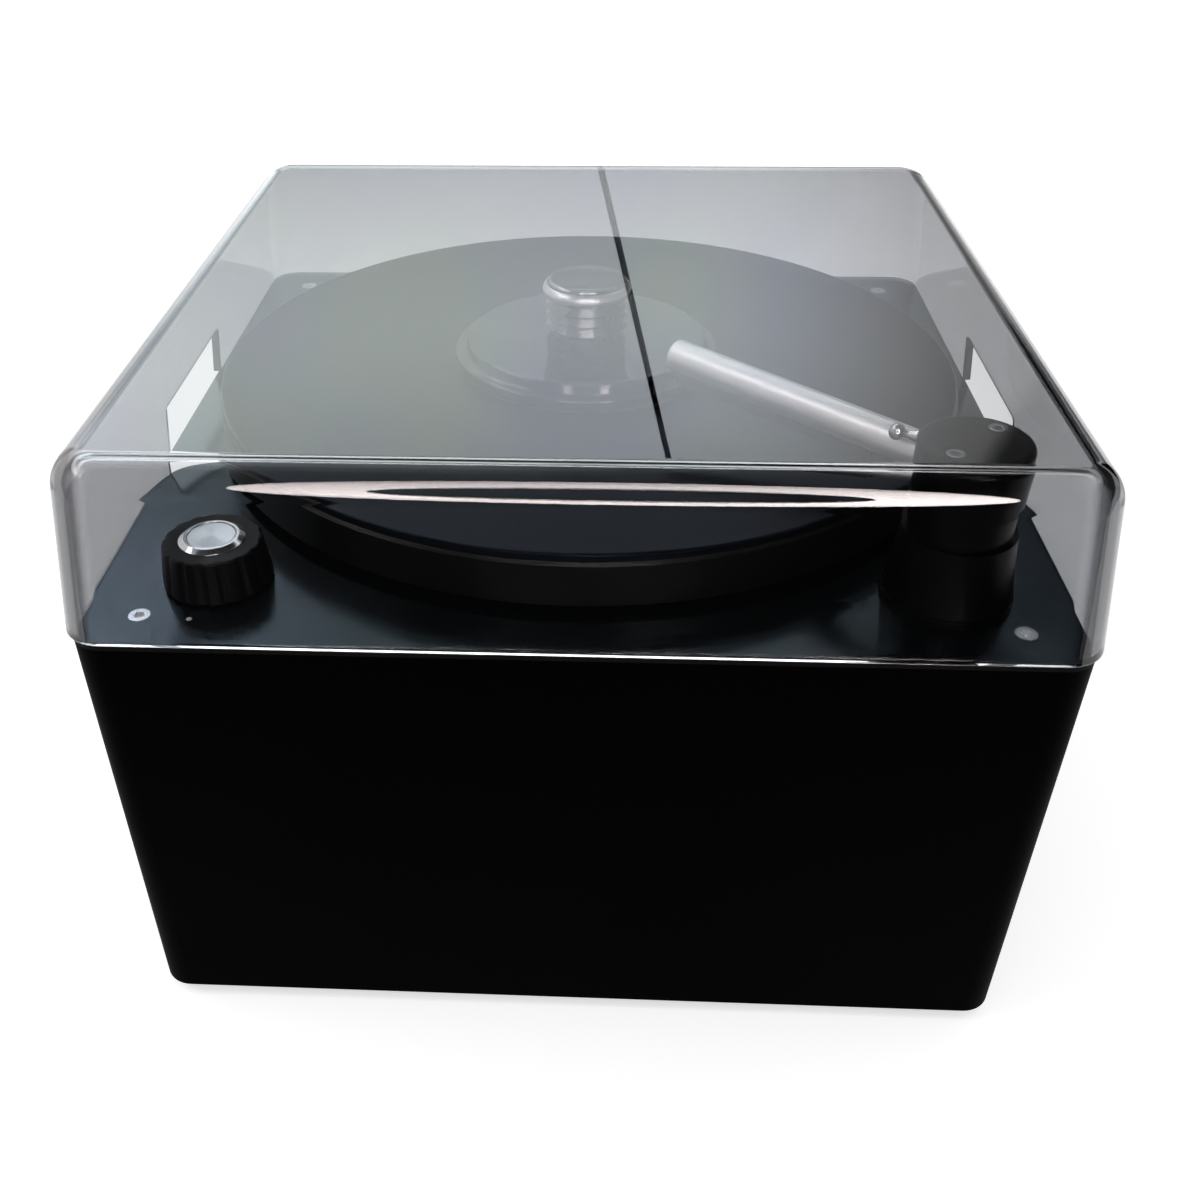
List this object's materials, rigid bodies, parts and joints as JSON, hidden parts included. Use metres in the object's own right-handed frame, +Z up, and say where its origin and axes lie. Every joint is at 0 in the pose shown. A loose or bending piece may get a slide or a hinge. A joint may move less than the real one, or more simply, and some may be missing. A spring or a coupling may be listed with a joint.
{
  "type": "record cleaning machine",
  "caption": "Box-shaped vacuum record cleaning machine: belt-driven platter with screw-down clamp, swinging suction arm, control knob with push button, and a clear lift-off cover.",
  "frame": {"origin": "centre of the footprint on the table, under the rubber feet", "axes": "+X to the machine's right as its user sees it, +Y to the rear, +Z up; the front faces -Y"},
  "size_m": [0.339, 0.334, 0.241],
  "materials": {
    "housing": "satin black powder coat",
    "plate": "satin black, fine grain",
    "black_plastic": "moulded, satin",
    "knob_black": "moulded, matt",
    "gloss_black": "polished",
    "rubber": "matt",
    "felt_mat": "smooth, faint sheen",
    "platter_black": "satin black",
    "aluminium": "brushed along its length",
    "steel": "turned",
    "zinc": "zinc plated",
    "chrome": "polished",
    "bronze": "sintered",
    "brass": "turned",
    "clear_cover": "clear acrylic with a light smoke tint, polished",
    "lips": "short pile",
    "hose": "smooth",
    "tank_plastic": "translucent natural polyethylene",
    "board": "green circuit board",
    "bracket_steel": "plated sheet"
  },
  "bodies": {
    "housing": {"housing_shell": "housing", "base_plate": "housing", "feet": "rubber", "foot_screws": "zinc", "top_plate": "plate", "plate_screws": "zinc", "bearing_housing": "aluminium", "bearing_bushes": "bronze", "thrust_washer": "black_plastic", "bracket_posts": "bracket_steel", "motor_bracket": "bracket_steel", "bracket_screws": "zinc", "gear_motor": "steel", "drive_belt": "rubber", "waste_tank": "tank_plastic", "tank_lid": "tank_plastic", "tank_screws": "zinc", "suction_hose": "hose", "transfer_hose": "hose", "hose_clips": "bracket_steel", "vacuum_motor": "steel", "motor_mount": "rubber", "drain_cup": "black_plastic", "mains_inlet": "black_plastic", "inlet_pins": "brass", "inlet_screws": "zinc", "switch_frame": "black_plastic", "power_board": "board", "board_posts": "brass", "selector_switch": "black_plastic", "switch_nut": "zinc", "tower_column": "black_plastic", "tower_nut": "black_plastic"},
    "platter_unit": {"spindle_shaft": "steel", "platter": "platter_black", "platter_mat": "felt_mat", "driven_pulley": "black_plastic"},
    "motor_drive": {"motor_pulley": "brass"},
    "record_clamp": {"clamp_base": "gloss_black", "clamp_seal": "rubber", "clamp_grip": "gloss_black", "clamp_badge": "gloss_black", "clamp_insert": "brass"},
    "arm_swivel": {"swivel_bush": "black_plastic", "arm_spring": "steel"},
    "vacuum_arm": {"arm_sleeve": "black_plastic", "head_block": "black_plastic", "head_cap": "black_plastic", "head_screws": "zinc", "arm_tube": "aluminium", "arm_plug": "aluminium", "suction_lips": "lips", "finger_pin": "chrome"},
    "selector_knob": {"control_knob": "knob_black", "knob_shaft": "steel", "button_bezel": "chrome"},
    "button": {"push_button": "aluminium"},
    "power_rocker": {"rocker": "black_plastic"},
    "lid": {"dust_cover": "clear_cover"},
    "drain_stopper": {"drain_plug": "rubber"}
  },
  "joints": [
    {"name": "cover_lift", "type": "slide", "parent": "housing", "child": "lid", "axis": [0, 0, 1], "range_m": [0, 0.07]},
    {"name": "platter_spin", "type": "hinge", "parent": "housing", "child": "platter_unit", "pos_m": [0, 0.0085, 0.179], "axis": [0, 0, 1], "continuous": true},
    {"name": "motor_pulley_spin", "type": "hinge", "parent": "housing", "child": "motor_drive", "pos_m": [-0.053, -0.0445, 0.102], "axis": [0, 0, 1], "continuous": true},
    {"name": "clamp_turn", "type": "hinge", "parent": "platter_unit", "child": "record_clamp", "pos_m": [0, 0.0085, 0.202], "axis": [0, 0, 1], "continuous": true},
    {"name": "arm_swing", "type": "hinge", "parent": "housing", "child": "arm_swivel", "pos_m": [0.125, -0.124, 0.179], "axis": [0, 0, 1], "range_deg": [-3, 55]},
    {"name": "arm_drop", "type": "slide", "parent": "arm_swivel", "child": "vacuum_arm", "axis": [0, 0, -1], "range_m": [0, 0.0104], "stiffness_N_per_m": 150, "springref_m": -0.03, "deforming": ["arm_spring"]},
    {"name": "selector_turn", "type": "hinge", "parent": "housing", "child": "selector_knob", "pos_m": [-0.125, -0.124, 0.19], "axis": [0, 0, 1], "range_deg": [-45, 45]},
    {"name": "button_press", "type": "slide", "parent": "selector_knob", "child": "button", "axis": [0, 0, -1], "range_m": [0, 0.0015], "stiffness_N_per_m": 400, "springref_m": -0.001},
    {"name": "power_switch", "type": "hinge", "parent": "housing", "child": "power_rocker", "pos_m": [-0.008, 0.162, 0.084], "axis": [1, 0, 0], "range_deg": [0, 16]},
    {"name": "drain_plug_pull", "type": "slide", "parent": "housing", "child": "drain_stopper", "axis": [0, 1, 0], "range_m": [0, 0.03]}
  ],
  "couplings": [
    {"joint": "motor_pulley_spin", "follows": "platter_spin", "ratio": 4.271}
  ]
}
